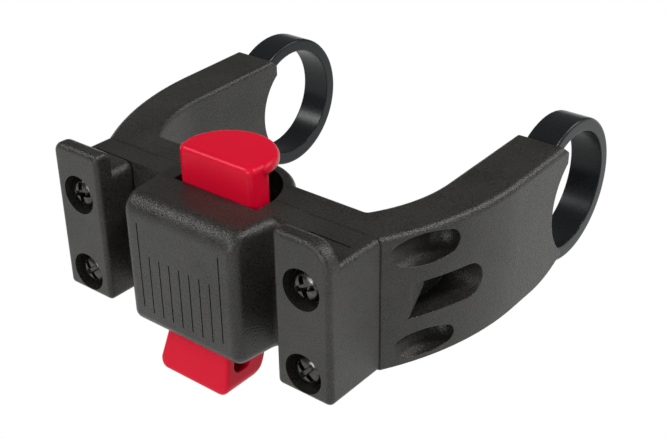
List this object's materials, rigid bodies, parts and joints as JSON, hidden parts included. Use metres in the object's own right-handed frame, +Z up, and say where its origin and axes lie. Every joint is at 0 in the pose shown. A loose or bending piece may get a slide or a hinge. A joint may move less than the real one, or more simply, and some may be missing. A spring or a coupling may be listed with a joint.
{
  "type": "bicycle handlebar bag mount",
  "caption": "Handlebar bag mount: curved arms clamp the bar with screwed bands, and a front block with a sprung release slider and hook takes a bag.",
  "frame": {"origin": "on the handlebar's axis, midway between the clamps", "axes": "+X along the handlebar, -Y towards the bag, +Z up"},
  "size_m": [0.1096, 0.1113, 0.0566],
  "materials": {
    "black_nylon": "fine spark-eroded grain",
    "band_nylon": "smooth satin",
    "red_plastic": "smooth satin",
    "screw_steel": "blackened",
    "spring_steel": "drawn wire",
    "insert_brass": "turned"
  },
  "bodies": {
    "mount": {"rear_bracket": "black_nylon", "coupling_block": "black_nylon", "left_lug": "black_nylon", "right_lug": "black_nylon", "left_band": "band_nylon", "right_band": "band_nylon", "return_spring": "spring_steel", "upper_left_screw": "screw_steel", "upper_right_screw": "screw_steel", "lower_left_screw": "screw_steel", "lower_right_screw": "screw_steel", "left_clamp_screw": "screw_steel", "right_clamp_screw": "screw_steel", "upper_left_insert": "insert_brass", "upper_right_insert": "insert_brass", "lower_left_insert": "insert_brass", "lower_right_insert": "insert_brass", "left_clamp_insert": "insert_brass", "right_clamp_insert": "insert_brass"},
    "slider": {"release_slider": "red_plastic"}
  },
  "joints": [
    {"name": "release_press", "type": "slide", "parent": "mount", "child": "slider", "axis": [0, 0, 1], "range_m": [-0.006, 0], "stiffness_N_per_m": 800, "springref_m": 0.004, "deforming": ["return_spring"]}
  ]
}
